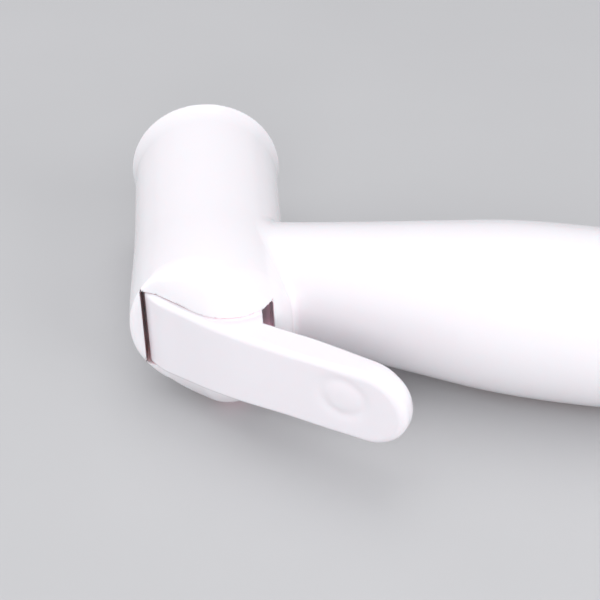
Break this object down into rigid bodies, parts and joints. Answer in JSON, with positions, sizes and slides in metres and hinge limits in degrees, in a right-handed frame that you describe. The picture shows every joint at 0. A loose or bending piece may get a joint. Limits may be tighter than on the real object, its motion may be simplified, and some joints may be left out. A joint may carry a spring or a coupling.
{
  "type": "hand-held bidet spray",
  "caption": "Hand-held bidet spray: round head with a lipped spray face, thumb lever under the head, swelled grip and a male hose thread at its end.",
  "frame": {"origin": "centre of the free end of the male hose thread", "axes": "+X along the grip axis, from the head out through the hose thread; +Z square to the mid-plane that holds the grip and head axes; the spray leaves the head about 17 degrees off +Y"},
  "size_m": [0.171, 0.0835, 0.0352],
  "materials": {
    "white_shell": "polished injection-moulded white plastic, slightly translucent",
    "white_face": "semi-gloss white plastic with fine moulded rings",
    "white_lever": "polished white plastic, a touch softer in gloss than the shell",
    "ivory_plastic": "unpainted acetal, satin",
    "pale_blue_plastic": "satin moulded plastic",
    "black_rubber": "moulded seal rubber, satin",
    "stainless": "turned stainless steel",
    "spring_steel": "drawn stainless spring wire"
  },
  "bodies": {
    "shell": {"body_shell": "white_shell", "spray_plate": "white_face", "face_o_ring": "black_rubber", "face_screw": "stainless", "flow_diffuser": "ivory_plastic", "cartridge_nut": "ivory_plastic", "valve_sleeve": "pale_blue_plastic", "sleeve_o_rings": "black_rubber", "return_spring": "spring_steel", "spring_cap": "ivory_plastic", "lever_pin": "stainless", "water_tube": "ivory_plastic", "tube_o_rings": "black_rubber", "inlet_fitting": "white_shell", "fitting_o_ring": "black_rubber", "end_collar": "white_shell", "check_valve_housing": "pale_blue_plastic", "housing_o_ring": "black_rubber", "check_spring": "spring_steel", "inlet_strainer": "stainless"},
    "lever": {"lever": "white_lever"},
    "valve_plunger": {"valve_stem": "stainless", "stem_o_rings": "black_rubber", "seat_seal": "black_rubber", "stem_button": "ivory_plastic"},
    "check_plunger": {"check_poppet": "ivory_plastic", "poppet_seal": "black_rubber"}
  },
  "joints": [
    {"name": "lever_press", "type": "hinge", "parent": "shell", "child": "lever", "pos_m": [-0.14772, -0.01613, 0], "axis": [0, 0, 1], "range_deg": [0, 9]},
    {"name": "plunger_slide", "type": "slide", "parent": "shell", "child": "valve_plunger", "axis": [-0.2974, 0.9548, 0], "range_m": [0, 0.00147], "deforming": ["return_spring"]},
    {"name": "check_valve_slide", "type": "slide", "parent": "shell", "child": "check_plunger", "axis": [-1, 0, 0], "range_m": [0, 0.0022], "deforming": ["check_spring"]}
  ],
  "couplings": [
    {"joint": "plunger_slide", "follows": "lever_press", "m_per_rad": 0.0093}
  ]
}
